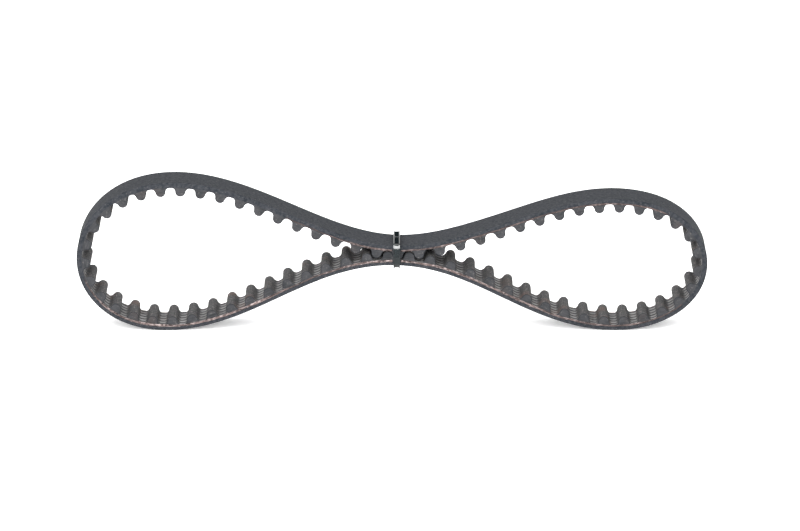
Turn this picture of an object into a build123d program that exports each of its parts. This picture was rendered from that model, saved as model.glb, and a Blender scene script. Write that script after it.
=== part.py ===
"""Endless toothed belt, pinched in the middle by a cable tie so that it stands as two lobes.

Frame: +X runs along the length, +Y goes into the width from the front edge, +Z is up.
The origin is on the surface that the belt stands on, under the middle of the whole object.
Every length is in millimetres and every bend in degrees.

The belt is five layers: a rubber back with a channel for the cords, cords of S and of Z twist,
toothed rubber, and a woven facing over the teeth.  Each layer is cut in three stretches, a waist
and two lobes, so that the lobes can bend about the waist.  The tie is a strap, a head and a pawl.
"""
from build123d import *
import math
import os

import numpy as np

# The belt's section.  Depths are measured inward, towards the teeth, from the pitch line,
# which runs through the middle of the cords.
PITCH = 8.0
TEETH = 69
WIDTH = 20.0
BACK_HEIGHT = 1.514
LAND_DEPTH = 0.686
TOOTH_HEIGHT = 3.2
TIP_RADIUS = 1.95
ROOT_RADIUS = 1.6
FACING = 0.18
CORD_DIAMETER = 0.8
CORD_COUNT = 14
CORD_SPACING = 1.4
CORD_LAYER = 0.84

# Bend at chosen teeth, in degrees for each tooth, clockwise as seen from the front.  Tooth 0 is
# the upper one under the tie; the count goes round the right lobe first.
BENDS = {
    0: -8.5, 3: -2.5, 6: 0.3, 9: 5.2, 12: 9.0, 14: 15.5, 16: 25.0, 18: 21.0,
    20: 12.0, 23: 7.8, 27: 2.3, 31: -5.4, 34: -7.5, 37: -4.5, 41: 2.4, 45: 8.2,
    48: 15.0, 50: 19.0, 52: 19.0, 54: 15.0, 57: 9.2, 61: 3.4, 65: -1.8, 69: -8.5,
}
LOWER_TIE_TOOTH = 34
TIE_X = -0.5

# Where the lobes bend: hinges in the bundle, and round ends that turn about them.
HINGE_REACH = 8.0
CUT_RADIUS = 12.0
CUT_GAP = 0.3

# The cable tie.  Its loop is drawn in the plane across the belt.  The strap is stiff, so it
# bows out in front of the belt's cut edge and arches a little over its back.
STRAP_WIDTH = 2.5
STRAP_THICKNESS = 1.1
STRAP_WEB = 0.65
RAIL_WIDTH = 0.38
STRAP_SLACK = 0.08
STRAP_LIFT = 0.3
STRAP_ARCH = 0.55
ARCH_RADIUS = 8.0
BOW_START = 0.5
BOW_OUT = 2.3
BOW_HALF_HEIGHT = 2.0
BOW_RADIUS = 3.6
CORNER_RADIUS = 1.1
HEAD_BEND_RADIUS = 0.25
RACK_PITCH = 1.0
RACK_HEIGHT = 0.25
RACK_RAMP = 0.85
TAIL_LENGTH = 1.1
HEAD_WIDTH = 4.6
HEAD_HEIGHT = 4.8
HEAD_WALL = 0.5
HEAD_CORNER = 0.45
HEAD_EDGE = 0.27
SLOT_CLEARANCE = 0.08

# The pawl hangs in the head from a round root.  It needs some backlash to lift off the rack.
PAWL_WIDTH = 1.5
PAWL_ROOT_RADIUS = 0.4
PAWL_ROOT_OUT = 1.0
PAWL_ROOT_DOWN = 1.0
PAWL_REACH = 1.2
PAWL_ARM = 0.72
PAWL_TIP = 0.7
PAWL_CLEARANCE = 0.08
PAWL_BACKLASH = 0.2

FRONT = -WIDTH / 2
# Larger than the belt is deep and long, for the blocks that cut it.
CUT_DEPTH = 100.0
CUT_LENGTH = 400.0
# How finely a stretch of the belt is searched for its highest or lowest point.
SEARCH_STEPS = 81


# ---------------------------------------------------------------- the pitch line

def walk(bends):
    """Place each tooth: its point on the pitch line and the way the belt heads there."""
    places = [np.array([0.0, 0.0])]
    headings = [0.0]
    for tooth in range(TEETH):
        place, heading = places[-1], headings[-1]
        for bend in (bends[tooth], bends[(tooth + 1) % TEETH]):
            half_turn = math.radians(bend) / 4
            chord = PITCH / 2 * math.sin(half_turn) / half_turn if half_turn else PITCH / 2
            heading -= half_turn
            place = place + chord * np.array([math.cos(heading), math.sin(heading)])
            heading -= half_turn
        places.append(place)
        headings.append(heading)
    return np.array(places), np.array(headings)


def closed_bends():
    """Fill in the bends between the chosen teeth, then even them out until the loop closes."""
    bends = np.interp(range(TEETH), list(BENDS), list(BENDS.values()))
    for _ in range(8):
        places, headings = walk(bends)
        across = np.column_stack([np.ones(TEETH), places[:TEETH]])
        lever = places[TEETH] - places[:TEETH]
        effect = np.column_stack([np.ones(TEETH), -lever[:, 1], lever[:, 0]])
        miss = np.array([-2 * math.pi - headings[TEETH], *(places[0] - places[TEETH])])
        share = np.linalg.solve(effect.T @ across, miss)
        bends = bends - np.degrees(across @ share)
    return bends


class PitchLine:
    """The closed line through the cords, one arc for each tooth, in the XZ plane."""

    def __init__(self):
        self.bends = closed_bends()
        self.places, self.headings = walk(self.bends)
        self.stand_level()
        self.middle = (self.places[0][1] + self.places[LOWER_TIE_TOOTH][1]) / 2

    def stand_level(self):
        """Turn the belt until both lobes rest on the same level, and put that at Z = 0."""
        for _ in range(4):
            left, right = self.lowest(left=True), self.lowest(left=False)
            slope = math.atan2(right[1] - left[1], right[0] - left[0])
            turn = np.array([[math.cos(slope), -math.sin(slope)], [math.sin(slope), math.cos(slope)]])
            self.places = self.places @ turn
            self.headings = self.headings - slope
        self.places = self.places - np.array([0.0, self.lowest(left=True)[1]])

    def lowest(self, left):
        """The lowest point of the smooth back of one lobe."""
        steps = np.linspace(-PITCH / 2, PITCH / 2, SEARCH_STEPS)
        back = [self.at(t, s, -BACK_HEIGHT) for t in range(TEETH) for s in steps]
        side = [p for p in back if (p[0] < self.places[0][0]) == left]
        return min(side, key=lambda p: p[1])

    def at(self, tooth, along, depth):
        """A point beside the belt: along the pitch line from a tooth, and inward from it."""
        tooth %= TEETH
        half_turn = math.radians(self.bends[tooth]) * along / PITCH / 2
        chord = along * math.sin(half_turn) / half_turn if half_turn else along
        toward = self.headings[tooth] - half_turn
        heading = toward - half_turn
        place = self.places[tooth] + chord * np.array([math.cos(toward), math.sin(toward)])
        return place + depth * np.array([math.sin(heading), -math.cos(heading)])

    def beside(self, tooth, across, depth):
        """A point in a tooth's own straight frame: the tooth keeps its shape in a bend."""
        tooth %= TEETH
        heading = self.headings[tooth]
        place = self.places[tooth]
        place = place + across * np.array([math.cos(heading), math.sin(heading)])
        return place + depth * np.array([math.sin(heading), -math.cos(heading)])


LINE = PitchLine()


def arc(start, middle, end, y=FRONT):
    """An arc through three points of the XZ plane."""
    return ThreePointArc(*[(p[0], y, p[1]) for p in (start, middle, end)])


def smooth_outline(depth):
    """A closed outline at one depth, with an arc for each tooth."""
    half = PITCH / 2
    arcs = [arc(*[LINE.at(t, s, depth) for s in (-half, 0, half)]) for t in range(TEETH)]
    return Wire(arcs)


def toothed_outline(skin):
    """The closed outline of the teeth, set back into the rubber by the thickness of a skin."""
    land = LAND_DEPTH - skin
    tip_centre = LAND_DEPTH + TOOTH_HEIGHT - TIP_RADIUS
    root_centre = LAND_DEPTH + ROOT_RADIUS
    reach = TIP_RADIUS + ROOT_RADIUS
    lean = math.asin((root_centre - tip_centre) / reach)
    root_across = reach * math.cos(lean)
    tip_radius = TIP_RADIUS - skin
    root_radius = ROOT_RADIUS + skin
    flank = (tip_radius * math.cos(lean), tip_centre + tip_radius * math.sin(lean))
    half_way = (math.pi / 2 + lean) / 2 - lean
    middle = (root_across - root_radius * math.cos(half_way), root_centre - root_radius * math.sin(half_way))
    edges = []
    for tooth in range(TEETH):
        starts = LINE.at(tooth, -root_across, land)
        ends = LINE.at(tooth, root_across, land)
        flanks = [LINE.beside(tooth, side * flank[0], flank[1]) for side in (-1, 1)]
        fillets = [
            (LINE.beside(tooth, side * middle[0], middle[1]) + LINE.at(tooth, side * middle[0], middle[1]))
            / 2
            for side in (-1, 1)
        ]
        tip = LINE.beside(tooth, 0, tip_centre + tip_radius)
        edges.append(arc(starts, fillets[0], flanks[0]))
        edges.append(arc(flanks[0], tip, flanks[1]))
        edges.append(arc(flanks[1], fillets[1], ends))
        following = LINE.at(tooth + 1, -root_across, land)
        edges.append(arc(ends, LINE.at(tooth, PITCH / 2, land), following))
    return Wire(edges)


# ---------------------------------------------------------------- the layers of the belt

def layer(outer, inner, width=WIDTH, start=FRONT):
    """A closed band between two outlines, as wide as asked."""
    band = extrude(Face(outer, [inner]), amount=width, dir=(0, 1, 0))
    return Pos(0, start - FRONT, 0) * band


def back_rubber():
    """The smooth back, with one wide channel for the cords open towards the teeth."""
    half = CORD_LAYER / 2
    back = layer(smooth_outline(-BACK_HEIGHT), smooth_outline(half))
    channel_width = CORD_COUNT * CORD_SPACING
    channel = layer(smooth_outline(-half), smooth_outline(CORD_LAYER), channel_width, -channel_width / 2)
    return back - channel


def tooth_rubber():
    """The rubber inside the teeth, joined by a thin web under the cords."""
    return layer(smooth_outline(CORD_LAYER / 2), toothed_outline(FACING))


def tooth_facing():
    """The woven skin that covers the teeth and the lands between them."""
    return layer(toothed_outline(FACING), toothed_outline(0))


def cord_places():
    """Where the cords lie across the width."""
    first = -(CORD_COUNT - 1) / 2 * CORD_SPACING
    return [first + i * CORD_SPACING for i in range(CORD_COUNT)]


def cord(teeth):
    """One cord of round section that follows the pitch line past a run of teeth."""
    half = PITCH / 2
    path = Wire([arc(*[LINE.at(t, s, 0) for s in (-half, 0, half)], y=0) for t in teeth])
    section = Plane(origin=path @ 0, x_dir=(0, 1, 0), z_dir=path % 0) * Circle(CORD_DIAMETER / 2)
    return sweep(section, path=path)


# ---------------------------------------------------------------- the stretches

def bundle_middle(x):
    """The middle of the two runs where they lie together, at one distance from the tie."""
    teeth = [t for t in range(TEETH) if abs(LINE.places[t][0] - x) <= PITCH]
    steps = np.linspace(-PITCH / 2, PITCH / 2, SEARCH_STEPS)
    cords = [LINE.at(t, s, 0) for t in teeth for s in steps]
    upper = min((p for p in cords if p[1] > LINE.middle), key=lambda p: abs(p[0] - x))
    lower = min((p for p in cords if p[1] <= LINE.middle), key=lambda p: abs(p[0] - x))
    return (upper[1] + lower[1]) / 2


HINGES = {side: (side * HINGE_REACH, bundle_middle(side * HINGE_REACH)) for side in (-1, 1)}


def turned_post(side, radius):
    """A cylinder across the belt about one hinge."""
    x, z = HINGES[side]
    return Pos(x, 0, z) * Rot(90, 0, 0) * Cylinder(radius, CUT_DEPTH)


def waist_region():
    """The space that the waist fills: between the hinges and out to the round ends."""
    between = Pos(0, 0, LINE.middle) * Box(2 * HINGE_REACH, CUT_DEPTH, 2 * CUT_RADIUS)
    return between + turned_post(-1, CUT_RADIUS) + turned_post(1, CUT_RADIUS)


def lobe_region(side):
    """The space that one lobe fills: beyond its hinge, clear of the waist's round end."""
    beyond = Pos(side * (HINGE_REACH + CUT_LENGTH / 2), 0, 0) * Box(CUT_LENGTH, CUT_DEPTH, CUT_LENGTH)
    return beyond - turned_post(side, CUT_RADIUS + CUT_GAP)


REGIONS = {"waist": waist_region(), "left": lobe_region(-1), "right": lobe_region(1)}
# The teeth that each stretch's cords pass, before the region trims them.
CORD_RUNS = {
    "waist": [range(-4, 5), range(LOWER_TIE_TOOTH - 5, LOWER_TIE_TOOTH + 4)],
    "left": [range(LOWER_TIE_TOOTH, TEETH)],
    "right": [range(0, LOWER_TIE_TOOTH + 1)],
}


def cords(name, twist):
    """Every second cord of a stretch: S and Z twists take turns across the width."""
    runs = [cord(teeth) & REGIONS[name] for teeth in CORD_RUNS[name]]
    places = cord_places()[0 if twist == "s" else 1::2]
    return [Pos(0, y, 0) * run for y in places for run in runs]


def belt_nodes():
    """Every layer of every stretch."""
    layers = {"back_rubber": back_rubber(), "tooth_rubber": tooth_rubber(), "tooth_facing": tooth_facing()}
    nodes = {}
    for name, region in REGIONS.items():
        for part, solid in layers.items():
            nodes[f"{name}_{part}"] = solid & region
        for twist in ("s", "z"):
            nodes[f"{name}_cords_{twist}"] = cords(name, twist)
    return nodes


# ---------------------------------------------------------------- the cable tie

def back_level(upper):
    """How high or low the smooth back stands under the strap, at its furthest from the middle."""
    teeth = (TEETH - 1, 0, 1) if upper else (LOWER_TIE_TOOTH - 1, LOWER_TIE_TOOTH, LOWER_TIE_TOOTH + 1)
    steps = np.linspace(-PITCH / 2, PITCH / 2, SEARCH_STEPS)
    back = [LINE.at(t, s, -BACK_HEIGHT) for t in teeth for s in steps]
    levels = [p[1] for p in back if abs(p[0] - TIE_X) <= STRAP_WIDTH / 2]
    return max(levels) if upper else min(levels)


TOP = back_level(upper=True)
BOTTOM = back_level(upper=False)
TIE_MIDDLE = (TOP + BOTTOM) / 2
BACK = WIDTH / 2 + STRAP_SLACK
TAIL_FACE = BACK + STRAP_THICKNESS + STRAP_SLACK
HEAD_TOP = TIE_MIDDLE + HEAD_HEIGHT / 2
HEAD_BOTTOM = TIE_MIDDLE - HEAD_HEIGHT / 2
TAIL_END = HEAD_BOTTOM - TAIL_LENGTH


def strap_line(offset):
    """The strap's path across the belt, at some distance out from its inner face."""
    front = -WIDTH / 2 - BOW_START
    bow = -WIDTH / 2 - BOW_OUT
    corners = [
        (BACK, HEAD_BOTTOM),
        (BACK, BOTTOM),
        (front, BOTTOM),
        (bow, TIE_MIDDLE - BOW_HALF_HEIGHT),
        (bow, TIE_MIDDLE + BOW_HALF_HEIGHT),
        (front, TOP),
        (0, TOP + STRAP_ARCH),
        (TAIL_FACE, TOP + STRAP_LIFT),
        (TAIL_FACE, TAIL_END),
    ]
    front_bends = [CORNER_RADIUS, BOW_RADIUS, BOW_RADIUS, CORNER_RADIUS]
    bends = [HEAD_BEND_RADIUS, *front_bends, ARCH_RADIUS, CORNER_RADIUS]
    return FilletPolyline(*moved_out(corners, offset), radius=[radius + offset for radius in bends])


def moved_out(corners, offset):
    """The corners of a clockwise path, each moved so that every stretch lies further out."""
    points = [Vector(*corner) for corner in corners]
    ways = [(after - here).normalized() for here, after in zip(points, points[1:])]
    outward = [Vector(-way.Y, way.X) for way in ways]
    moved = []
    for point, before, after in zip(points, outward[:1] + outward, outward + outward[-1:]):
        moved.append(point + (before + after) * (offset / (1 + before.dot(after))))
    return moved


def strap_band(thickness):
    """The strap's outline, as thick as asked from its inner face out."""
    inner = strap_line(0.0)
    outer = strap_line(thickness)
    ends = [Line(inner @ end, outer @ end) for end in (0, 1)]
    return make_face([*inner.edges(), *outer.edges(), *ends])


def rack_teeth():
    """Ramped teeth along the straight stretches of the strap's outer side."""
    base = strap_line(STRAP_WEB)
    teeth = []
    for stretch in base.edges().filter_by(GeomType.LINE):
        along = stretch % 0
        outward = Vector(-along.Y, along.X)
        for i in range(int(stretch.length / RACK_PITCH)):
            foot = stretch @ 1 - along * (i * RACK_PITCH + RACK_PITCH / 2)
            crest = foot + outward * RACK_HEIGHT
            ramp = foot + along * (RACK_PITCH * RACK_RAMP)
            teeth.append(make_face(Polyline(foot, crest, ramp, close=True)))
    return teeth


def across_belt(sketch, width, x=TIE_X):
    """Stand a sketch of the YZ plane upright and give it a width along the belt."""
    upright = Plane(origin=(x, 0, 0), x_dir=(0, 1, 0), z_dir=(1, 0, 0))
    return extrude(upright * sketch, amount=width / 2, both=True)


def tie_strap():
    """The strap: a web with a rack on its outer side, between two rails."""
    web = across_belt(Sketch() + [strap_band(STRAP_WEB), *rack_teeth()], STRAP_WIDTH - RAIL_WIDTH)
    shift = (STRAP_WIDTH - RAIL_WIDTH) / 2
    rails = [across_belt(strap_band(STRAP_THICKNESS), RAIL_WIDTH, TIE_X + side * shift) for side in (-1, 1)]
    return web + rails


def pawl_root():
    """The middle of the pawl's round root, in the YZ plane."""
    return TAIL_FACE + STRAP_WEB + PAWL_ROOT_OUT, HEAD_TOP - PAWL_ROOT_DOWN


def pawl_space():
    """The room that the pawl needs in the head, open at the tail's way out."""
    y, z = pawl_root()
    outer = y + PAWL_ROOT_RADIUS + PAWL_CLEARANCE
    inner = TAIL_FACE + STRAP_WEB
    width = PAWL_WIDTH + 2 * PAWL_CLEARANCE
    deep = outer - inner
    tall = z - HEAD_BOTTOM + HEAD_WALL
    room = Pos(TIE_X, inner + deep / 2, z - tall / 2) * Box(width, deep, tall)
    seat = Pos(TIE_X, y, z) * Rot(0, 90, 0) * Cylinder(PAWL_ROOT_RADIUS + PAWL_CLEARANCE, width)
    return room + seat


def tie_head():
    """The head: a rounded block with a straight slot for the tail and a space for the pawl."""
    y, _ = pawl_root()
    outer = y + PAWL_ROOT_RADIUS + PAWL_CLEARANCE + HEAD_WALL
    deep = outer - BACK
    block = Pos(TIE_X, BACK + deep / 2, TIE_MIDDLE) * Box(HEAD_WIDTH, deep, HEAD_HEIGHT)
    block = fillet(block.edges().filter_by(Axis.Z), HEAD_CORNER)
    block = fillet(block.faces().sort_by(Axis.Y)[-1].edges(), HEAD_EDGE)
    slot_width = STRAP_WIDTH + 2 * SLOT_CLEARANCE
    slot_depth = STRAP_THICKNESS + 2 * SLOT_CLEARANCE
    slot = Box(slot_width, slot_depth, 2 * HEAD_HEIGHT)
    slot = Pos(TIE_X, TAIL_FACE + STRAP_THICKNESS / 2, TIE_MIDDLE) * slot
    return block - slot - pawl_space()


def tie_pawl():
    """The pawl: a round root, a tapering arm and two teeth that catch in the rack."""
    y, z = pawl_root()
    floor = TAIL_FACE + STRAP_WEB + PAWL_CLEARANCE
    notch = floor + RACK_HEIGHT / RACK_RAMP
    upper = tail_rack_step(z - PAWL_REACH) + PAWL_BACKLASH
    lower = upper - RACK_PITCH
    inner_side = [(y - PAWL_ARM / 2, z), (notch, upper + RACK_PITCH), (floor, upper), (notch, upper)]
    tip = [(floor, lower), (floor + PAWL_TIP, lower), (y + PAWL_ARM / 2, z)]
    arm = make_face(Polyline(*inner_side, *tip, close=True))
    root = Pos(y, z) * Circle(PAWL_ROOT_RADIUS)
    return across_belt(Sketch() + [arm, root], PAWL_WIDTH)


def tail_rack_step(below):
    """The level of the highest rack step on the tail that lies below a level."""
    return TAIL_END + RACK_PITCH / 2 + RACK_PITCH * math.floor((below - TAIL_END) / RACK_PITCH - 0.5)


# ---------------------------------------------------------------- the files

def main():
    """Build every node, centre the whole over the origin and write one file for each."""
    nodes = belt_nodes()
    nodes.update(tie_strap=tie_strap(), tie_head=tie_head(), tie_pawl=tie_pawl())
    nodes = {name: Compound(children=solids_of(shape)) for name, shape in nodes.items()}
    box = Compound(children=[copy for node in nodes.values() for copy in solids_of(node)]).bounding_box()
    shift = Pos(-(box.min.X + box.max.X) / 2, -(box.min.Y + box.max.Y) / 2, 0)
    os.makedirs("parts", exist_ok=True)
    for name, node in nodes.items():
        export_step(shift * node, f"parts/{name}.step")
    print("shift", shift.position, "size", box.size)
    for side, hinge in HINGES.items():
        print("hinge", side, hinge)
    print("pawl root", pawl_root(), "tie middle", TIE_MIDDLE, "top", TOP, "bottom", BOTTOM)


def solids_of(shape):
    """The solids of a shape or of a list of shapes."""
    shapes = shape if isinstance(shape, list) else [shape]
    return [solid for one in shapes for solid in one.solids()]


if __name__ == "__main__":
    main()
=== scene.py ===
"""The looks of a toothed belt that a cable tie pinches into two lobes.

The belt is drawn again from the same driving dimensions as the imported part, in millimetres, and
every vertex is then turned into metres in the part's frame.  Each half of the belt is one
unbroken run, so its pieces bend between the waist and a lobe instead of showing the part's cuts.
A UV map on each piece holds the place along the belt and across it, so that weaves and grain
stay on the surface when the belt bends.
"""
import math

import bpy
import numpy as np
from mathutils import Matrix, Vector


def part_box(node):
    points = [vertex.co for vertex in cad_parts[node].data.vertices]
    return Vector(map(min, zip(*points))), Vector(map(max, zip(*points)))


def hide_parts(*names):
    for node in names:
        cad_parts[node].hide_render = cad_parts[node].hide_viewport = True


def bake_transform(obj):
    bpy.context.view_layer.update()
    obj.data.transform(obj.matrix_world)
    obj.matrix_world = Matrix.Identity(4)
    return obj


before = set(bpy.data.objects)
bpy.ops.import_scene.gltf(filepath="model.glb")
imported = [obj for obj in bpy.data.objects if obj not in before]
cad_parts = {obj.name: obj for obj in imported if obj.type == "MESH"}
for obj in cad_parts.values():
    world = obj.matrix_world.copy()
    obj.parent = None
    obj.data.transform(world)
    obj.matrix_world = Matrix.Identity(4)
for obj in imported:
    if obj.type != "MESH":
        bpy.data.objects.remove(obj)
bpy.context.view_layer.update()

MM = 0.001

# ---------------------------------------------------------------- driving dimensions, in millimetres

PITCH = 8.0
TEETH = 69
WIDTH = 20.0
BACK_HEIGHT = 1.514
LAND_DEPTH = 0.686
TOOTH_HEIGHT = 3.2
TIP_RADIUS = 1.95
ROOT_RADIUS = 1.6
FACING = 0.18
CORD_DIAMETER = 0.8
CORD_COUNT = 14
CORD_SPACING = 1.4
CORD_LAYER = 0.84

# Bend at chosen teeth, in degrees for each tooth, clockwise as seen from the front.  Tooth 0 is
# the upper one under the tie; the count goes round the right lobe first.
BENDS = {
    0: -8.5, 3: -2.5, 6: 0.3, 9: 5.2, 12: 9.0, 14: 15.5, 16: 25.0, 18: 21.0,
    20: 12.0, 23: 7.8, 27: 2.3, 31: -5.4, 34: -7.5, 37: -4.5, 41: 2.4, 45: 8.2,
    48: 15.0, 50: 19.0, 52: 19.0, 54: 15.0, 57: 9.2, 61: 3.4, 65: -1.8, 69: -8.5,
}
LOWER_TIE_TOOTH = 34

# Each half of the belt runs from the middle of tooth 0 to the valley under the tie.
HALVES = {"right": (0.0, LOWER_TIE_TOOTH - 0.5), "left": (LOWER_TIE_TOOTH - 0.5, float(TEETH))}

# Softened and worn edges, and the rough cut faces.  A cell is the size of a noise's bumps, and
# those of the wear are narrower round the section by EDGE_WEAR_SQUEEZE.
CORNER = 0.22
EDGE_WEAR = 0.05
EDGE_WEAR_CELL = 1.3
EDGE_WEAR_SQUEEZE = 2
CUT_ROUGHNESS = 0.03
CUT_CELL = 0.9

# The facing: its waves, and the ribs that stand between the teeth.  The ribs grow from nothing
# where the outline's share of valley is LAND_START, over a further LAND_FADE.  The pattern of a
# half starts FACING_SHIFT times as far along as the half does on the pitch line.
FACING_WAVE = 0.03
FACING_WAVE_CELL = 1.7
FACING_RIPPLE = 0.015
FACING_RIPPLE_CELL = 0.6
FACING_SHIFT = 1.3
RIB_SPACING = 4.0
RIB_HEIGHT = 0.12
RIB_FULLNESS = 0.6
LAND_START = 0.35
LAND_FADE = 0.4

# How much the cut has laid the outermost cord bare, from 0 to 1, at chosen counts of teeth.  The
# rear edge takes the share that the front one has REAR_OFFSET teeth further on.
BARE_CORD = {
    0: 0.55, 2: 0.5, 3: 0.4, 7: 0.4, 9: 0.4, 10: 0.5, 13: 0.4, 13.7: 0.0, 18.8: 0.0, 19: 0.35,
    22: 0.55, 26: 0.55, 28: 0.65, 30: 0.8, 34: 0.9, 35: 0.7, 36: 0.5, 38: 0.45, 39: 0.5, 41: 0.9,
    44: 1.0, 47: 0.9, 48: 0.6, 50: 0.35, 50.5: 0.0, 63.1: 0.0, 63.4: 0.25, 66: 0.35, 69: 0.55,
}
REAR_OFFSET = 23
BARE_UNEVEN = 0.35
BARE_CELL = 9.0

# The bare cord is a strand.  Its middle lies BARE_SINK inside the cut face where it is bare, and
# up to COVERED_SINK further in where it isn't or where the strap covers it, which reaches
# STRAP_HALF to either side of TIE_X.  Its height is from STRAND_THIN to STRAND_THICK times its
# radius, and it wanders about a line STRAND_DROP inward from the pitch line.
TIE_X = -0.5
STRAP_HALF = 1.55
BARE_SINK = 0.1
COVERED_SINK = 0.5
SINK_CURVE = 3
STRAND_RADIUS = 0.46
STRAND_DEPTH = 0.4
STRAND_THIN = 0.5
STRAND_THICK = 1.02
STRAND_DROP = 0.3
STRAND_DRIFT = 0.12
STRAND_DRIFT_CELL = 7.0

# Its fibres turn by a radian in STRAND_TWIST in relief, and by a whole turn in colour.  The fuzz on
# them has FUZZ_AROUND millimetres of noise for each radian round the strand.
STRAND_TWIST = 5.0
STRAND_FIBRES = 5
FIBRE_RELIEF = 0.09
FUZZ_RELIEF = 0.05
FUZZ_CELL = 0.8
FUZZ_AROUND = 3

# The loose fibres: how many are tried, how bare the cord has to be for them, and the limits of
# their length, of how far they stand out and of how far they lean across the strand.  Their roots
# scatter by HAIR_SPREAD, HAIR_CLEAR outside the cut face.  The corners of a hair are in radians.
HAIRS = 700
HAIR_RADIUS = 0.03
HAIR_START = 0.2
HAIR_LENGTHS = (0.6, 1.8)
HAIR_LIFTS = (0.1, 0.35)
HAIR_LEANS = (-0.9, 0.9)
HAIR_SPREAD = 0.3
HAIR_CLEAR = 0.15
HAIR_POINTS = 5
HAIR_CORNERS = (0.5, 2.6, 4.7)

# The camera: its sensor in millimetres, its height above the level in degrees, the rest in metres.
SENSOR_WIDTH = 36.0
CAMERA_DISTANCE = 2.6
CAMERA_ELEVATION = 13.4
VIEW_WIDTH = 0.3104
VIEW_LIMIT = 100.0
AIM = (0.0031, -0.0002, 0.0234)

# The lights: places and sizes in metres, powers in watts.  The front light leaves no highlight,
# and the spark light gives nothing but highlights.
WORLD_LIGHT = 1.5
LIGHTS = {
    "top_light": dict(place=(0.0, 0.1, 1.2), size=1.4, power=1.2),
    "front_light": dict(place=(-0.2, -1.2, 0.55), size=0.9, power=26.0, shines=False),
    "spark_light": dict(place=(0.0, -0.3, 1.16), size=0.5, power=22.0, lights=False),
}

# The floor reaches FLOOR_REACH metres to each side, and glows a little so that it stays white.
FLOOR_REACH = 12.0
FLOOR_GLOW = 0.3
FLOOR_ROUGHNESS = 0.9
FLOOR_DARK = (0.9, 0.9, 0.9, 1.0)
FLOOR_PALE = (0.93, 0.93, 0.93, 1.0)
WHITE = (1.0, 1.0, 1.0, 1.0)

# How finely the line is worked out and the surfaces are drawn.  Counts of teeth that differ by
# less than SAME_COUNT are one place, and a noise repeats after NOISE_CELLS cells.
CLOSING_ROUNDS = 8
LEVELLING_ROUNDS = 4
OUTLINE_STEP = 0.1
SAME_COUNT = 1e-6
NOISE_CELLS = 64
BAND_STEP = 0.6
BAND_ACROSS = 1.0
CUT_STEP = 0.35
CORNER_STEPS = 3
LAND_STEPS = 4
ROOT_STEPS = 8
TIP_STEPS = 10
CORE_STEPS = 5
FACING_ACROSS = 0.5
CORD_STEP = 1.0
CORD_SIDES = 10
STRAND_STEP = 0.3
STRAND_SIDES = 16
SHARP_ANGLE = 40


# ---------------------------------------------------------------- the pitch line

def walk(bends):
    """Place each tooth: its point on the pitch line and the way the belt heads there."""
    places = [np.array([0.0, 0.0])]
    headings = [0.0]
    for tooth in range(TEETH):
        place, heading = places[-1], headings[-1]
        for bend in (bends[tooth], bends[(tooth + 1) % TEETH]):
            half_turn = math.radians(bend) / 4
            chord = PITCH / 2 * math.sin(half_turn) / half_turn if half_turn else PITCH / 2
            heading -= half_turn
            place = place + chord * np.array([math.cos(heading), math.sin(heading)])
            heading -= half_turn
        places.append(place)
        headings.append(heading)
    return np.array(places), np.array(headings)


def closed_bends():
    """Fill in the bends between the chosen teeth, then correct them until the loop closes."""
    bends = np.interp(range(TEETH), list(BENDS), list(BENDS.values()))
    for _ in range(CLOSING_ROUNDS):
        places, headings = walk(bends)
        across = np.column_stack([np.ones(TEETH), places[:TEETH]])
        lever = places[TEETH] - places[:TEETH]
        effect = np.column_stack([np.ones(TEETH), -lever[:, 1], lever[:, 0]])
        miss = np.array([-2 * math.pi - headings[TEETH], *(places[0] - places[TEETH])])
        share = np.linalg.solve(effect.T @ across, miss)
        bends = bends - np.degrees(across @ share)
    return bends


class PitchLine:
    """The closed line through the cords, in the XZ plane.  A place on it is a count of teeth."""

    def __init__(self):
        self.bends = closed_bends()
        self.places, self.headings = walk(self.bends)
        for _ in range(LEVELLING_ROUNDS):
            self.level()
        back = self.at(self.stations(0, TEETH), -BACK_HEIGHT)
        self.places = self.places - np.array([0.0, back[:, 1].min()])
        self.leftmost = back[:, 0].min()

    def stations(self, start, end, step=OUTLINE_STEP):
        """Evenly spaced places from one count of teeth to another."""
        return np.linspace(start, end, round((end - start) * PITCH / step) + 1)

    def level(self):
        """Turn the belt until both lobes rest on the same level."""
        back = self.at(self.stations(0, TEETH), -BACK_HEIGHT)
        left = back[back[:, 0] < 0]
        right = back[back[:, 0] >= 0]
        rise = right[right[:, 1].argmin()] - left[left[:, 1].argmin()]
        slope = math.atan2(rise[1], rise[0])
        turn = np.array([[math.cos(slope), -math.sin(slope)], [math.sin(slope), math.cos(slope)]])
        self.places = self.places @ turn
        self.headings = self.headings - slope

    def at(self, count, depth):
        """Points at some depth inward from the line, where the belt curves with it."""
        count = np.asarray(count, float)
        nearest = np.floor(count + 0.5)
        along = (count - nearest) * PITCH
        tooth = nearest.astype(int) % TEETH
        half_turn = np.radians(self.bends[tooth]) * along / PITCH / 2
        chord = along * np.sinc(half_turn / math.pi)
        toward = self.headings[tooth] - half_turn
        heading = toward - half_turn
        forward = np.column_stack([np.cos(toward), np.sin(toward)])
        inward = np.column_stack([np.sin(heading), -np.cos(heading)])
        return self.places[tooth] + chord[:, None] * forward + np.reshape(depth, (-1, 1)) * inward

    def beside(self, tooth, across, depth):
        """Points in a tooth's own straight frame: the tooth keeps its shape in a bend."""
        heading = self.headings[tooth % TEETH]
        forward = np.array([math.cos(heading), math.sin(heading)])
        inward = np.array([math.sin(heading), -math.cos(heading)])
        return self.places[tooth % TEETH] + np.outer(across, forward) + np.outer(depth, inward)


LINE = PitchLine()
LOW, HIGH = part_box("left_back_rubber")
SHIFT = np.array([LOW.x - LINE.leftmost * MM, (LOW.y + HIGH.y) / 2, 0.0])


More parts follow.
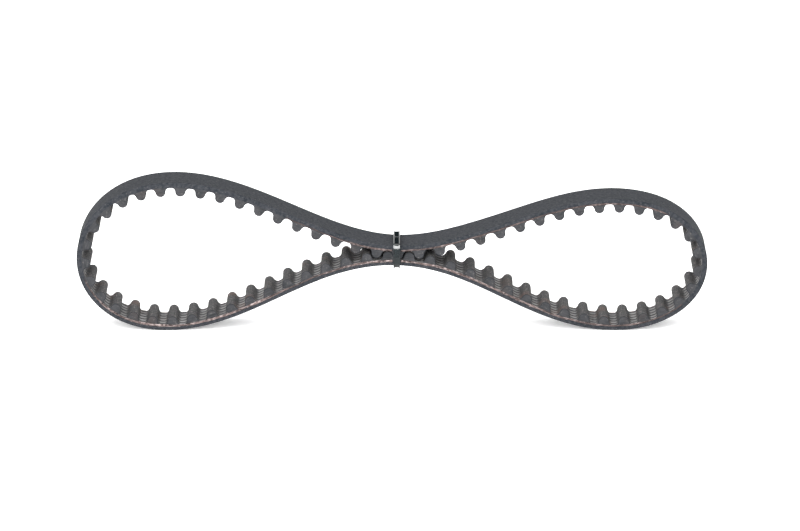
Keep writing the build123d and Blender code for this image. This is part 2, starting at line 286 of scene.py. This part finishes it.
def tooth_section(skin):
    """One pitch of the toothed side, from valley to valley.

    Each row is the place across the tooth, the depth, and the share by which the outline curves
    with the belt: 1 in the valley, 0 where the tooth keeps its own shape.  The skin is how far
    the outline is set back into the rubber.
    """
    tip_depth = LAND_DEPTH + TOOTH_HEIGHT - TIP_RADIUS
    root_depth = LAND_DEPTH + ROOT_RADIUS
    lean = math.asin((root_depth - tip_depth) / (TIP_RADIUS + ROOT_RADIUS))
    root_across = (TIP_RADIUS + ROOT_RADIUS) * math.cos(lean)
    root, tip = ROOT_RADIUS + skin, TIP_RADIUS - skin
    turns = np.linspace(0, math.pi / 2 - lean, ROOT_STEPS)
    land = np.linspace(PITCH / 2, root_across, LAND_STEPS)[:-1]
    rows = [(across, LAND_DEPTH - skin, 1.0) for across in land]
    for t in turns:
        rows.append((root_across - root * math.sin(t), root_depth - root * math.cos(t), 1 - t / turns[-1]))
    for t in np.linspace(lean, math.pi / 2, TIP_STEPS)[1:]:
        rows.append((tip * math.cos(t), tip_depth + tip * math.sin(t), 0.0))
    half = np.array(rows)
    mirror = np.array([-1, 1, 1])
    return np.vstack([half * mirror, half[-2::-1]])


def toothed_line(half, skin):
    """The toothed outline of one half: its points, counts of teeth and shares of valley."""
    start, end = HALVES[half]
    across, depth, valley = tooth_section(skin).T
    points, counts, valleys = [], [], []
    for tooth in range(math.ceil(start), math.ceil(end) + 1):
        curved = LINE.at(tooth + across / PITCH, depth)
        rigid = LINE.beside(tooth, across, depth)
        points.append(rigid + (curved - rigid) * valley[:, None])
        counts.append(tooth + across / PITCH)
        valleys.append(valley)
    points, counts, valleys = np.vstack(points), np.concatenate(counts), np.concatenate(valleys)
    fresh = np.concatenate([[True], np.diff(counts) > SAME_COUNT])
    kept = fresh & (counts > start - SAME_COUNT) & (counts < end + SAME_COUNT)
    return points[kept], counts[kept], valleys[kept]


# ---------------------------------------------------------------- mesh work

def smooth_noise(along, across, cell, seed):
    """Smooth random heights between -1 and 1, in a grid of cells that is the same on every run."""
    table = np.random.default_rng(seed).uniform(-1, 1, (NOISE_CELLS, NOISE_CELLS))
    x, y = np.asarray(along) / cell, np.asarray(across) / cell
    column, row = np.floor(x).astype(int), np.floor(y).astype(int)
    u, v = x - column, y - row
    u, v = u * u * (3 - 2 * u), v * v * (3 - 2 * v)

    def corner(i, j):
        return table[(column + i) % NOISE_CELLS, (row + j) % NOISE_CELLS]

    near = corner(0, 0) * (1 - u) + corner(1, 0) * u
    far = corner(0, 1) * (1 - u) + corner(1, 1) * u
    return near * (1 - v) + far * v


def lengths(points):
    """How far along a run of points each one lies."""
    return np.concatenate([[0], np.cumsum(np.linalg.norm(np.diff(points, axis=0), axis=-1))])


def stand(flat, y):
    """Turn points of the XZ plane into points in space, at a distance into the width."""
    flat = np.asarray(flat)
    return np.stack([flat[..., 0], np.broadcast_to(y, flat[..., 0].shape), flat[..., 1]], axis=-1)


def tube_faces(stations, size):
    """The quads between rings of vertices, and a cap at each end."""
    first = np.arange(stations - 1)[:, None] * size
    here = np.arange(size)
    after = (here + 1) % size
    quads = np.stack([first + here, first + after, first + size + after, first + size + here], axis=-1)
    last = (stations - 1) * size
    return quads.reshape(-1, 4).tolist(), [list(range(size))[::-1], list(range(last, last + size))]


def closed_piece(name, parts, material):
    """One object from tubes.

    Each tube has its rings in millimetres, and its places along and around, which broadcast to
    one for each vertex.
    """
    verts, faces, maps = [], [], []
    start = 0
    for rings, along, around in parts:
        stations, size = rings.shape[:2]
        quads, caps = tube_faces(stations, size)
        if inside_out(rings):
            quads, caps = [q[::-1] for q in quads], [c[::-1] for c in caps]
        verts.append(rings.reshape(-1, 3))
        faces += [[v + start for v in face] for face in quads + caps]
        maps.append(np.stack([np.broadcast_to(along, (stations, size)),
                              np.broadcast_to(around, (stations, size))], axis=-1).reshape(-1, 2))
        start += stations * size
    mesh = bpy.data.meshes.new(name)
    mesh.from_pydata((np.vstack(verts) * MM + SHIFT).tolist(), [], faces)
    vertex_of_loop = np.empty(len(mesh.loops), int)
    mesh.loops.foreach_get("vertex_index", vertex_of_loop)
    places = mesh.uv_layers.new(name="place")
    places.data.foreach_set("uv", (np.vstack(maps) * MM)[vertex_of_loop].ravel())
    mesh.polygons.foreach_set("use_smooth", [True] * len(mesh.polygons))
    mesh.set_sharp_from_angle(angle=math.radians(SHARP_ANGLE))
    mesh.materials.append(material)
    piece = bpy.data.objects.new(name, mesh)
    bpy.context.scene.collection.objects.link(piece)
    return piece


def inside_out(rings):
    """Whether the quads of a tube would face inward, from the first ring's turn about the tube."""
    ring, ahead = rings[0], rings[1].mean(axis=0) - rings[0].mean(axis=0)
    around = np.cross(ring - ring.mean(axis=0), np.roll(ring, -1, axis=0) - ring.mean(axis=0)).sum(axis=0)
    return float(around @ ahead) < 0


def paint(piece, name, values):
    """Keep a share for each vertex, for the material to read."""
    share = piece.data.attributes.new(name, "FLOAT", "POINT")
    share.data.foreach_set("value", values.astype(np.float32).ravel())


def join_belt(piece, half, layers):
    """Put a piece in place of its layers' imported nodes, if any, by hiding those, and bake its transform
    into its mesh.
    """
    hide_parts(*[f"{stretch}_{layer}" for stretch in (half, "waist") for layer in layers])
    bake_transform(piece)


# ---------------------------------------------------------------- the pieces of the belt

def band_ring():
    """The back rubber's section: place across the width and depth, round from the inner front corner."""
    edge, deep, inner = WIDTH / 2, -BACK_HEIGHT, CORD_LAYER / 2
    turns = np.linspace(0, math.pi / 2, CORNER_STEPS + 1)
    front = [(-edge, d) for d in np.arange(inner, deep + CORNER, -CUT_STEP)]
    front += [(-edge + CORNER * (1 - math.cos(t)), deep + CORNER * (1 - math.sin(t))) for t in turns]
    back = [(y, deep) for y in np.arange(-edge + CORNER + BAND_ACROSS, 0, BAND_ACROSS)]
    left = np.array(front + back)
    return np.vstack([left, [(0, deep)], left[::-1] * np.array([-1, 1])])


def back_band(half, material):
    """The smooth back, down to the depth where the teeth begin."""
    counts = LINE.stations(*HALVES[half], step=BAND_STEP)
    ring = band_ring()
    along = counts * PITCH
    around = lengths(ring)
    wear = np.clip(1 - np.abs(np.abs(ring[:, 0]) - WIDTH / 2 + CORNER / 2) / CORNER, 0, 1)
    squeezed = around[None, :] * EDGE_WEAR_SQUEEZE
    rough = smooth_noise(along[:, None], squeezed, EDGE_WEAR_CELL, seed=3) * wear * EDGE_WEAR
    rings = np.stack([stand(LINE.at(counts, depth), y) for y, depth in ring], axis=1)
    middle = stand(LINE.at(counts, (CORD_LAYER / 2 - BACK_HEIGHT) / 2), 0.0)[:, None, :]
    rings = rings + (middle - rings) / WIDTH * 2 * rough[:, :, None]
    piece = closed_piece(f"{half}_half_back", [(rings, along[:, None], around)], material)
    join_belt(piece, half, ["back_rubber"])


def tooth_cores(half, material):
    """The rubber inside the teeth, which shows where the belt was cut to width."""
    outer, counts, _ = toothed_line(half, FACING)
    inner = LINE.at(counts, CORD_LAYER / 2)
    edge = WIDTH / 2
    rise = np.linspace(0, 1, CORE_STEPS)
    ring = [(-edge, t) for t in rise] + [(edge, t) for t in rise[::-1]]
    rings = np.stack([stand(inner + (outer - inner) * t, y) for y, t in ring], axis=1)
    cut = smooth_noise(rings[:, :, 0], rings[:, :, 2], CUT_CELL, seed=5) * CUT_ROUGHNESS
    rings[:, :, 1] -= np.sign(rings[:, :, 1]) * np.abs(cut)
    around = np.linalg.norm(outer - inner, axis=1)[:, None] * np.array([t for _, t in ring])
    piece = closed_piece(f"{half}_half_teeth", [(rings, (counts * PITCH)[:, None], around)], material)
    join_belt(piece, half, ["tooth_rubber"])


def facing_skin(half, material):
    """The woven facing, with the ribs that stand between the teeth."""
    outer, counts, valley = toothed_line(half, 0.0)
    inner, _, _ = toothed_line(half, FACING)
    edge = WIDTH / 2
    across = np.linspace(-edge, edge, round(WIDTH / FACING_ACROSS) + 1)
    along = lengths(outer) + counts[0] * PITCH * FACING_SHIFT
    out = outer - inner
    out = out / np.linalg.norm(out, axis=1)[:, None]
    rib = np.abs(np.sin(math.pi * (across + edge) / RIB_SPACING)) ** RIB_FULLNESS * RIB_HEIGHT
    land = np.clip((valley - LAND_START) / LAND_FADE, 0, 1)
    height = (rib[None, :] - RIB_HEIGHT) * land[:, None]
    for rise, cell, seed in ((FACING_WAVE, FACING_WAVE_CELL, 11), (FACING_RIPPLE, FACING_RIPPLE_CELL, 12)):
        height = height + rise * smooth_noise(along[:, None], across[None, :], cell, seed)
    skin = stand(outer, 0.0)[:, None, :] + stand(out, 0.0)[:, None, :] * height[:, :, None]
    skin[:, :, 1] = across
    back = [stand(inner, y)[:, None, :] for y in (edge, -edge)]
    rings = np.concatenate([skin, *back], axis=1)
    around = np.concatenate([across, [edge + FACING, -edge - FACING]])
    cut = np.clip(1 - (edge - np.abs(around)) / FACING_ACROSS, 0, 1)
    piece = closed_piece(f"{half}_half_facing", [(rings, along[:, None], around)], material)
    paint(piece, "valley", np.broadcast_to(land[:, None], rings.shape[:2]))
    paint(piece, "cut", np.broadcast_to(cut, rings.shape[:2]))
    join_belt(piece, half, ["tooth_facing"])


def inner_cords(half, twist, material):
    """Every second cord inside the belt, whole from one end of the half to the other."""
    counts = LINE.stations(*HALVES[half], step=CORD_STEP)
    first = -(CORD_COUNT - 1) / 2 * CORD_SPACING
    turns = np.linspace(0, 2 * math.pi, CORD_SIDES, endpoint=False)
    radius = CORD_DIAMETER / 2
    tubes = []
    for i in range(0 if twist == "s" else 1, CORD_COUNT, 2):
        middle = first + i * CORD_SPACING
        sides = [stand(LINE.at(counts, radius * math.sin(t)), middle + radius * math.cos(t)) for t in turns]
        tubes.append((np.stack(sides, axis=1), (counts * PITCH)[:, None], turns * radius))
    piece = closed_piece(f"{half}_half_{twist}_cords", tubes, material)
    join_belt(piece, half, [f"cords_{twist}"])


def bare_share(counts):
    """How much of the outermost cord the cut has laid bare, from 0 to 1."""
    share = np.interp(counts % TEETH, list(BARE_CORD), list(BARE_CORD.values()))
    return share * (1 + BARE_UNEVEN * smooth_noise(counts * PITCH, 0.0, BARE_CELL, seed=21))


def edge_strand(half, side, material):
    """The outermost cord where it lies bare in one cut edge: a twisted strand with loose fibres."""
    counts = LINE.stations(*HALVES[half], step=STRAND_STEP)
    along = counts * PITCH
    share = np.clip(bare_share(counts + (0 if side < 0 else REAR_OFFSET)), 0, 1)
    flat = LINE.at(counts, 0.0)
    clear = np.clip((np.abs(flat[:, 0] - TIE_X) - STRAP_HALF) / STRAND_RADIUS, 0, 1)
    sink = BARE_SINK + COVERED_SINK * (1 - share * clear) ** SINK_CURVE
    tall = STRAND_RADIUS * (STRAND_THIN + (STRAND_THICK - STRAND_THIN) * share)
    turns = np.linspace(0, 2 * math.pi, STRAND_SIDES, endpoint=False)
    drift = STRAND_DROP + STRAND_DRIFT * smooth_noise(along, 0.0, STRAND_DRIFT_CELL, seed=22 + side)
    sides = []
    for t in turns:
        fibre = 1 + FIBRE_RELIEF * np.cos(STRAND_FIBRES * (t + along / STRAND_TWIST))
        fibre = fibre + FUZZ_RELIEF * smooth_noise(along, t * FUZZ_AROUND, FUZZ_CELL, seed=23)
        depth = drift + tall * fibre * math.sin(t)
        y = side * (WIDTH / 2 - sink + STRAND_DEPTH * fibre * math.cos(t))
        sides.append(stand(LINE.at(counts, depth), y))
    tubes = [(np.stack(sides, axis=1), along[:, None], turns * STRAND_RADIUS)]
    tubes += loose_fibres(counts, share * clear, side)
    edge = "front" if side < 0 else "rear"
    piece = closed_piece(f"{half}_half_{edge}_strand", tubes, material)
    hairs = np.ones(len(piece.data.vertices) - len(share) * STRAND_SIDES)
    paint(piece, "bare", np.concatenate([np.repeat(share, STRAND_SIDES), hairs]))
    join_belt(piece, half, [])


def loose_fibres(counts, share, side):
    """Short hairs that the cut pulled out of the bare cord."""
    rng = np.random.default_rng(31 + side)
    way = np.linspace(0, 1, HAIR_POINTS)
    ring = [stand([0.0, HAIR_RADIUS * math.sin(t)], HAIR_RADIUS * math.cos(t)) for t in HAIR_CORNERS]
    tubes = []
    for _ in range(HAIRS):
        at = int(rng.integers(0, len(counts) - 1))
        keep = rng.random()
        long, lift, lean = [rng.uniform(*limits) for limits in (HAIR_LENGTHS, HAIR_LIFTS, HAIR_LEANS)]
        if keep > share[at] - HAIR_START:
            continue
        place = np.clip(counts[at] + way * long / PITCH, counts[0], counts[-1])
        depth = STRAND_DROP + HAIR_SPREAD * rng.uniform(-1, 1) + lean * way ** 2
        y = side * (WIDTH / 2 + HAIR_CLEAR + lift * np.sin(way * math.pi))
        middle = stand(LINE.at(place, depth), y)
        tubes.append((middle[:, None, :] + np.array(ring), (place * PITCH)[:, None], 0.0))
    return tubes


# ---------------------------------------------------------------- materials

class Finish:
    """A procedural material, with short ways to add and join its nodes.

    It reads places from the piece's map, or from the object where there is no map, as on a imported
    node.
    """

    def __init__(self, name, specular, mapped=True):
        self.material = bpy.data.materials.new(name)
        self.material.use_nodes = True
        self.nodes = self.material.node_tree.nodes
        self.links = self.material.node_tree.links
        self.shader = self.nodes["Principled BSDF"]
        self.shader.inputs["Specular IOR Level"].default_value = specular
        if mapped:
            place = self.nodes.new("ShaderNodeUVMap")
            place.uv_map = "place"
            self.place = place.outputs["UV"]
        else:
            self.place = self.nodes.new("ShaderNodeTexCoord").outputs["Object"]

    def put(self, value, socket):
        """Join another node's output to a socket, or set the socket to a plain value."""
        if isinstance(value, bpy.types.NodeSocket):
            self.links.new(value, socket)
        else:
            socket.default_value = value

    def math(self, operation, first, second=0.0):
        """One sum on two values; some operations use only the first."""
        node = self.nodes.new("ShaderNodeMath")
        node.operation = operation
        self.put(first, node.inputs[0])
        self.put(second, node.inputs[1])
        return node.outputs[0]

    def split(self):
        """The places along and around the piece, in metres."""
        node = self.nodes.new("ShaderNodeSeparateXYZ")
        self.links.new(self.place, node.inputs[0])
        return node.outputs[0], node.outputs[1]

    def noise(self, size, stretch=(1.0, 1.0, 1.0), detail=3.0, low=0.35, high=0.65):
        """Random patches of one size, in metres, spread over 0 to 1."""
        scale = self.nodes.new("ShaderNodeMapping")
        self.links.new(self.place, scale.inputs["Vector"])
        scale.inputs["Scale"].default_value = [s / size for s in stretch]
        node = self.nodes.new("ShaderNodeTexNoise")
        self.links.new(scale.outputs[0], node.inputs["Vector"])
        node.inputs["Scale"].default_value = 1.0
        node.inputs["Detail"].default_value = detail
        return self.spread(node.outputs["Fac"], low, high)

    def spread(self, value, low, high, to_low=0.0, to_high=1.0):
        """Stretch one range of a value over another, and hold it at the ends."""
        node = self.nodes.new("ShaderNodeMapRange")
        limits = {"From Min": low, "From Max": high, "To Min": to_low, "To Max": to_high}
        self.put(value, node.inputs["Value"])
        for socket, limit in limits.items():
            node.inputs[socket].default_value = limit
        return node.outputs["Result"]

    def between(self, share, low, high):
        """Go from one number to another as a share goes from 0 to 1."""
        return self.spread(share, 0.0, 1.0, low, high)

    def mix(self, share, first, second):
        """Go from one colour to another; the node's colour sockets have only numbers of their own."""
        node = self.nodes.new("ShaderNodeMix")
        node.data_type = "RGBA"
        self.put(share, node.inputs["Factor"])
        self.put(first, node.inputs[6])
        self.put(second, node.inputs[7])
        return node.outputs[2]

    def lay(self, colour, mask, strength, tone):
        """Lay a tone over a colour, as strongly as asked where the mask is 1."""
        return self.mix(self.math("MULTIPLY", mask, strength), colour, tone)

    def attribute(self, name):
        """The share that a piece holds for each of its vertices."""
        node = self.nodes.new("ShaderNodeAttribute")
        node.attribute_name = name
        return node.outputs["Fac"]

    def weave(self, pitch):
        """A plain weave of one thread spacing in metres: its height, from 0 in the gaps to 1."""
        along, around = self.split()
        turns = [self.math("MULTIPLY", value, math.pi / pitch) for value in (along, around)]
        waves = [self.math("SINE", turn) for turn in turns]
        over = self.math("GREATER_THAN", self.math("MULTIPLY", *waves), 0.0)
        threads = [self.math("ABSOLUTE", wave) for wave in waves]
        first = self.math("MULTIPLY", threads[0], over)
        second = self.math("MULTIPLY", threads[1], self.math("SUBTRACT", 1.0, over))
        return self.math("ADD", first, second)

    def finish(self, colour, roughness, height=None, depth=0.0):
        """Join the colour, roughness and bump to the shader; the bump's depth is in metres."""
        self.put(colour, self.shader.inputs["Base Color"])
        self.put(roughness, self.shader.inputs["Roughness"])
        if height is not None:
            bump = self.nodes.new("ShaderNodeBump")
            bump.inputs["Distance"].default_value = depth
            self.links.new(height, bump.inputs["Height"])
            self.links.new(bump.outputs["Normal"], self.shader.inputs["Normal"])
        return self.material


def shade(*screen):
    """A shader's colour from red, green and blue on the usual screen scale of 0 to 255."""
    return (*[((part / 255 + 0.055) / 1.055) ** 2.4 for part in screen], 1.0)


def ground_rubber():
    """The belt's back: matt rubber, ground smooth across the width, with faint paler patches."""
    look = Finish("ground_rubber", specular=0.03)
    patches = look.noise(0.009, detail=5.0)
    grain = look.noise(0.0013, detail=3.0, low=0.4, high=0.6)
    specks = look.noise(0.0008, detail=2.0, low=0.6, high=0.72)
    grinding = look.noise(0.0009, stretch=(1.0, 0.05, 1.0), detail=2.0)
    colour = look.mix(patches, shade(33, 36, 40), shade(44, 46, 50))
    colour = look.lay(colour, grain, 0.5, shade(60, 61, 64))
    colour = look.lay(colour, specks, 0.5, shade(90, 89, 88))
    height = look.math("ADD", grain, look.math("MULTIPLY", grinding, 0.6))
    return look.finish(colour, look.between(patches, 0.62, 0.74), height, depth=0.00004)


def cut_rubber():
    """The teeth's rubber on the cut faces: dull, with knife marks along the belt."""
    look = Finish("cut_rubber", specular=0.03)
    patches = look.noise(0.005, detail=4.0)
    marks = look.noise(0.0005, stretch=(0.12, 1.0, 1.0), detail=2.0)
    stain = look.noise(0.02, detail=3.0, low=0.55, high=0.7)
    specks = look.noise(0.0009, detail=2.0, low=0.6, high=0.7)
    colour = look.mix(patches, shade(40, 41, 43), shade(54, 54, 56))
    colour = look.lay(colour, stain, 0.35, shade(68, 57, 52))
    colour = look.lay(colour, marks, 0.35, shade(70, 71, 73))
    colour = look.lay(colour, specks, 0.45, shade(98, 96, 94))
    return look.finish(colour, look.between(patches, 0.66, 0.78), marks, depth=0.00005)


def woven_facing():
    """The fabric over the teeth: fine threads, painted light on the raised ribs that stand between the
    teeth, and painted shade in the grooves between the ribs.
    """
    look = Finish("woven_facing", specular=0.03)
    threads = look.weave(pitch=0.00075)
    fuzz = look.noise(0.0008, detail=3.0)
    specks = look.noise(0.0011, detail=2.0, low=0.55, high=0.65)
    rubbed = look.noise(0.014, detail=3.0, low=0.56, high=0.72)
    # Random patches make the painted light on the ribs uneven.
    rib_light_patches = look.noise(0.009, detail=2.0, low=0.3, high=0.6)
    _, around = look.split()
    turn = look.math("MULTIPLY", around, math.pi / (RIB_SPACING * MM))
    wave = look.math("ABSOLUTE", look.math("SINE", turn))
    land = look.attribute("valley")
    # Painted light: the raised ribs on the lands are made paler.
    rib = look.math("MULTIPLY", look.spread(wave, 0.35, 0.8), look.math("POWER", land, 2.0))
    rib = look.math("MULTIPLY", rib, look.between(rib_light_patches, 0.35, 0.85))
    # Painted shade: the grooves between the ribs on the lands are made darker.
    groove_shade = look.math("MULTIPLY", look.spread(wave, 0.45, 0.15), land)
    colour = look.mix(threads, shade(44, 45, 47), shade(74, 74, 75))
    colour = look.lay(colour, fuzz, 0.4, shade(96, 94, 93))
    colour = look.lay(colour, specks, 0.5, shade(126, 122, 119))
    # Lay the painted light on the ribs and the painted shade in the grooves.
    colour = look.mix(rib, colour, shade(146, 145, 145))
    colour = look.lay(colour, groove_shade, 0.7, shade(44, 45, 48))
    colour = look.lay(colour, rubbed, 0.35, shade(106, 84, 74))
    colour = look.mix(look.attribute("cut"), colour, shade(40, 42, 45))
    height = look.math("ADD", threads, look.math("MULTIPLY", fuzz, 0.5))
    return look.finish(colour, look.between(fuzz, 0.7, 0.85), height, depth=0.00008)


def cord_fibre(name, dark, pale):
    """Twisted glass fibres with a red-brown dip, paler where they are torn."""
    look = Finish(name, specular=0.1)
    along, around = look.split()
    forward = look.math("MULTIPLY", along, 2 * math.pi / (STRAND_TWIST * MM))
    slant = look.math("ADD", forward, look.math("MULTIPLY", around, 1 / (STRAND_RADIUS * MM)))
    plies = look.math("ABSOLUTE", look.math("SINE", look.math("MULTIPLY", slant, STRAND_FIBRES / 2)))
    torn = look.noise(0.0034, stretch=(0.6, 1.0, 1.0), detail=4.0, low=0.4, high=0.62)
    fine = look.noise(0.0006, stretch=(0.4, 1.0, 1.0), detail=2.0, low=0.48, high=0.64)
    colour = look.mix(torn, dark, pale)
    # Painted shade in the grooves between the twisted plies.
    colour = look.lay(colour, look.spread(plies, 0.5, 0.0), 0.7, shade(40, 30, 29))
    bare = look.spread(look.attribute("bare"), 0.1, 0.8, 0.15, 1.0)
    colour = look.lay(colour, look.math("MULTIPLY", fine, 0.75), bare, shade(182, 167, 165))
    colour = look.mix(bare, dark, colour)
    height = look.math("ADD", plies, fine)
    return look.finish(colour, look.between(torn, 0.5, 0.7), height, depth=0.00006)


def black_nylon():
    """The cable tie: glossy black nylon with slight moulding flow marks."""
    look = Finish("black_nylon", specular=0.32, mapped=False)
    flow = look.noise(0.0022, detail=3.0)
    haze = look.noise(0.0005, detail=2.0)
    colour = look.mix(flow, shade(10, 16, 18), shade(18, 26, 28))
    return look.finish(colour, look.between(haze, 0.1, 0.2), flow, depth=0.00002)


# ---------------------------------------------------------------- the tie, the stage and the camera

def dress_tie(material):
    """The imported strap, head and pawl keep their shape and get the nylon."""
    for name in ("tie_strap", "tie_head", "tie_pawl"):
        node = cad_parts[name]
        node.data.materials.clear()
        node.data.materials.append(material)


def floor():
    """A plain pale floor."""
    mesh = bpy.data.meshes.new("floor")
    directions = ((-1, -1), (1, -1), (1, 1), (-1, 1))
    mesh.from_pydata([(x * FLOOR_REACH, y * FLOOR_REACH, 0.0) for x, y in directions], [], [(0, 1, 2, 3)])
    look = Finish("pale_floor", specular=0.1, mapped=False)
    look.shader.inputs["Emission Color"].default_value = WHITE
    look.shader.inputs["Emission Strength"].default_value = FLOOR_GLOW
    tone = look.noise(0.4, detail=2.0)
    mesh.materials.append(look.finish(look.mix(tone, FLOOR_DARK, FLOOR_PALE), FLOOR_ROUGHNESS))
    plane = bpy.data.objects.new("floor", mesh)
    bpy.context.scene.collection.objects.link(plane)


def soft_box(name, place, size, power, lights=True, shines=True):
    """A square light that faces the origin: it lights dull surfaces, shines in glossy ones, or both."""
    light = bpy.data.lights.new(name, "AREA")
    light.size = size
    light.energy = power
    box = bpy.data.objects.new(name, light)
    box.location = place
    box.rotation_euler = (-box.location).to_track_quat("-Z", "Y").to_euler()
    box.visible_diffuse = lights
    box.visible_glossy = shines
    bpy.context.scene.collection.objects.link(box)


def studio():
    """Soft light from all round, with a few large lights."""
    world = bpy.data.worlds.new("studio")
    bpy.context.scene.world = world
    world.use_nodes = True
    background = world.node_tree.nodes["Background"]
    background.inputs["Color"].default_value = WHITE
    background.inputs["Strength"].default_value = WORLD_LIGHT
    for name, settings in LIGHTS.items():
        soft_box(name, **settings)
    bpy.context.scene.view_settings.view_transform = "Standard"


def camera():
    """A long lens, a little above the belt and square to its loop."""
    data = bpy.data.cameras.new("camera")
    data.sensor_width = SENSOR_WIDTH
    data.lens = SENSOR_WIDTH * CAMERA_DISTANCE / VIEW_WIDTH
    data.clip_end = VIEW_LIMIT
    seer = bpy.data.objects.new("camera", data)
    tilt = math.radians(CAMERA_ELEVATION)
    x, y, z = AIM
    seer.location = (x, y - CAMERA_DISTANCE * math.cos(tilt), z + CAMERA_DISTANCE * math.sin(tilt))
    seer.rotation_euler = (math.pi / 2 - tilt, 0.0, 0.0)
    bpy.context.scene.collection.objects.link(seer)
    bpy.context.scene.camera = seer


# ---------------------------------------------------------------- the scene


camera()
studio()
floor()
back_look, cut_look, facing_look = ground_rubber(), cut_rubber(), woven_facing()
cord_looks = {
    "s": cord_fibre("cord_fibre_s", shade(49, 41, 40), shade(108, 93, 90)),
    "z": cord_fibre("cord_fibre_z", shade(47, 40, 39), shade(103, 89, 86)),
}
for side_name in HALVES:
    back_band(side_name, back_look)
    tooth_cores(side_name, cut_look)
    facing_skin(side_name, facing_look)
    for twist_name, cord_look in cord_looks.items():
        inner_cords(side_name, twist_name, cord_look)
    for edge_side in (-1, 1):
        edge_strand(side_name, edge_side, cord_looks["s"])
dress_tie(black_nylon())
